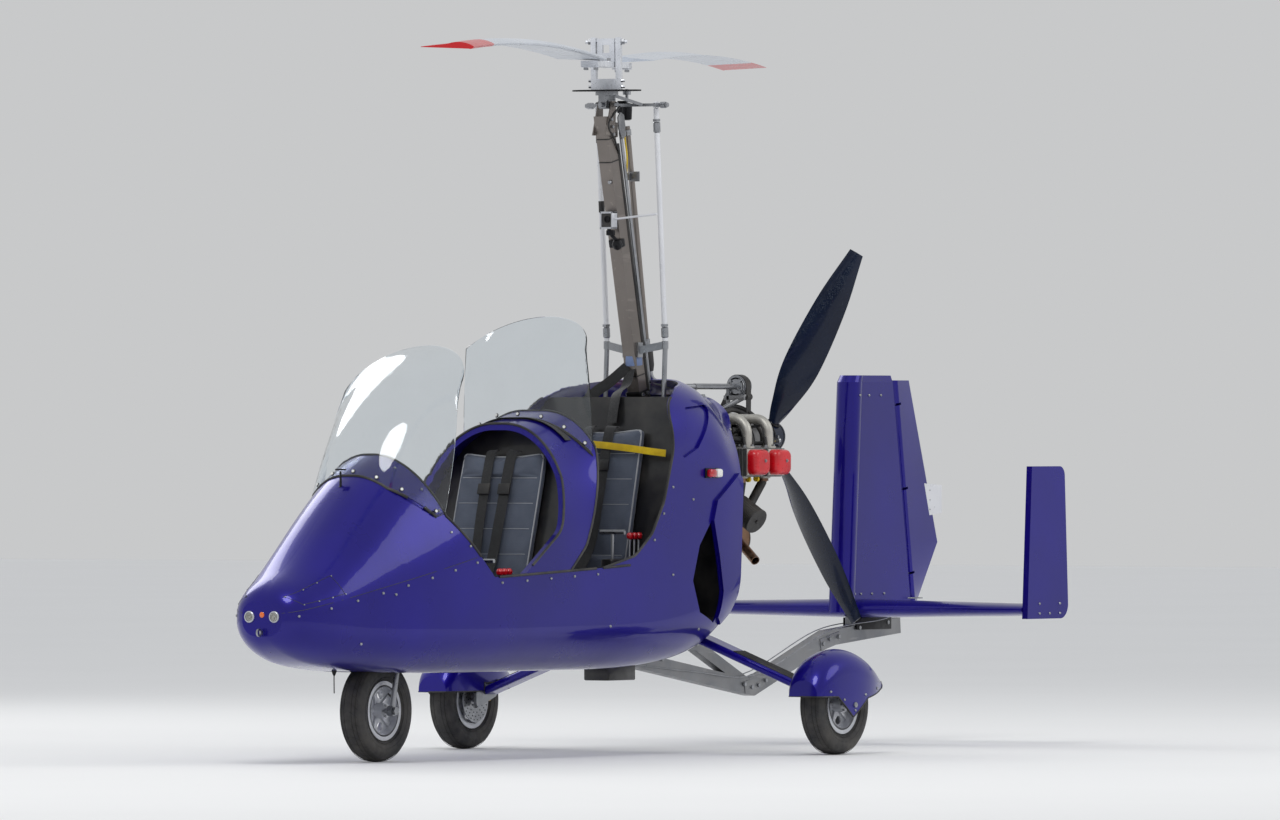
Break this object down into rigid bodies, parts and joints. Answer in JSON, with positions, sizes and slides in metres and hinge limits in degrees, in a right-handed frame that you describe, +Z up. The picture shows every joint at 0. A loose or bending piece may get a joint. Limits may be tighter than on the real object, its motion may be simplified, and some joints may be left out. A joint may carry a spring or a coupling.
{
  "type": "open tandem two-seat gyrocopter",
  "caption": "Open tandem gyrocopter on tricycle gear, with a teetering rotor, pusher propeller, finned tail and open engine.",
  "frame": {"origin": "on the ground, straight below the rotor head", "axes": "+Z up, the nose towards -Y, the aircraft's port side towards +X"},
  "size_m": [3.7404, 7.6998, 2.884],
  "materials": {
    "blade_grey": "smooth satin",
    "body_paint": "deep blue-violet metallic gloss",
    "cast_light": "light casting",
    "clear_screen": "clear acrylic",
    "engine_metal": "cast and machined",
    "exhaust_steel": "heat tinted",
    "filter_black": "black, ribbed",
    "gear_dark": "dark, oiled",
    "keel_steel": "satin steel tube",
    "lamp_glass": "clear lens",
    "lever_steel": "satin",
    "liner_black": "black gloss",
    "mast_steel": "satin steel, brown-grey",
    "prop_gloss": "dark navy gloss",
    "red_enamel": "red enamel",
    "rim_silver": "silver cast",
    "rod_white": "satin silver-white",
    "seat_cloth": "grey coated fabric",
    "tower_white": "satin silver-white",
    "tyre_rubber": "worn black"
  },
  "bodies": {
    "airframe": {"air_filter": "filter_black", "body_tub": "body_paint", "cylinders": "engine_metal", "engine_block": "engine_metal", "engine_frame": "keel_steel", "exhaust": "exhaust_steel", "fin": "body_paint", "front_seat_pad": "seat_cloth", "front_seat_shell": "liner_black", "front_windscreen": "clear_screen", "gear_bow": "body_paint", "instrument_panel": "liner_black", "intake_manifold": "cast_light", "keel": "keel_steel", "left_axle": "lever_steel", "left_control_rod": "rod_white", "left_end_plate": "body_paint", "left_scoop": "body_paint", "left_spat": "body_paint", "mast": "mast_steel", "mid_cowl": "body_paint", "nose_cowl": "body_paint", "nose_lamps": "lamp_glass", "rear_bulkhead": "liner_black", "rear_cowl": "body_paint", "rear_seat_pad": "seat_cloth", "rear_seat_shell": "liner_black", "rear_windscreen": "clear_screen", "right_axle": "lever_steel", "right_control_rod": "rod_white", "right_end_plate": "body_paint", "right_scoop": "body_paint", "right_spat": "body_paint", "rocker_covers": "red_enamel", "rod_levers": "lever_steel", "stabilizer": "body_paint", "tow_eye": "lever_steel"},
    "nose_fork": {"nose_fork": "lever_steel"},
    "nose_wheel": {"nose_tyre": "tyre_rubber", "nose_rim": "rim_silver"},
    "left_wheel": {"left_tyre": "tyre_rubber", "left_rim": "rim_silver"},
    "right_wheel": {"right_tyre": "tyre_rubber", "right_rim": "rim_silver"},
    "propeller": {"prop_hub": "prop_gloss", "prop_blades": "prop_gloss"},
    "rudder": {"rudder": "body_paint", "trim_tab": "rod_white"},
    "gimbal": {"gimbal_block": "lever_steel"},
    "head": {"head_frame": "lever_steel"},
    "tower": {"rotor_tower": "tower_white", "ring_gear": "gear_dark"},
    "rotor": {"teeter_block": "tower_white", "front_rotor_blade": "blade_grey", "rear_rotor_blade": "blade_grey"}
  },
  "joints": [
    {"name": "nose_steering", "type": "hinge", "parent": "airframe", "child": "nose_fork", "pos_m": [0, -1.655, 0.2], "axis": [0, 0.2079, 0.9781], "range_deg": [-25, 25]},
    {"name": "nose_wheel_spin", "type": "hinge", "parent": "nose_fork", "child": "nose_wheel", "pos_m": [0, -1.655, 0.2], "axis": [1, 0, 0], "continuous": true},
    {"name": "left_wheel_spin", "type": "hinge", "parent": "airframe", "child": "left_wheel", "pos_m": [0.89, 0.3, 0.2], "axis": [1, 0, 0], "continuous": true},
    {"name": "right_wheel_spin", "type": "hinge", "parent": "airframe", "child": "right_wheel", "pos_m": [-0.89, 0.3, 0.2], "axis": [1, 0, 0], "continuous": true},
    {"name": "propeller_spin", "type": "hinge", "parent": "airframe", "child": "propeller", "pos_m": [0, 1.215, 1.27], "axis": [0, 1, 0], "continuous": true},
    {"name": "rudder_swing", "type": "hinge", "parent": "airframe", "child": "rudder", "pos_m": [0, 2.305, 0.58], "axis": [0, -0.1494, 0.9888], "range_deg": [-28, 28]},
    {"name": "head_pitch", "type": "hinge", "parent": "airframe", "child": "gimbal", "pos_m": [0, 0, 2.604], "axis": [1, 0, 0], "range_deg": [-9, 9]},
    {"name": "head_roll", "type": "hinge", "parent": "gimbal", "child": "head", "pos_m": [0, 0, 2.604], "axis": [0, 1, 0], "range_deg": [-8, 8]},
    {"name": "rotor_spin", "type": "hinge", "parent": "head", "child": "tower", "pos_m": [0, 0, 2.604], "axis": [0, -0.0175, 0.9998], "continuous": true},
    {"name": "rotor_teeter", "type": "hinge", "parent": "tower", "child": "rotor", "pos_m": [0, -0.00442, 2.85696], "axis": [0.9018, 0.4321, 0.0075], "range_deg": [-8, 8]}
  ]
}
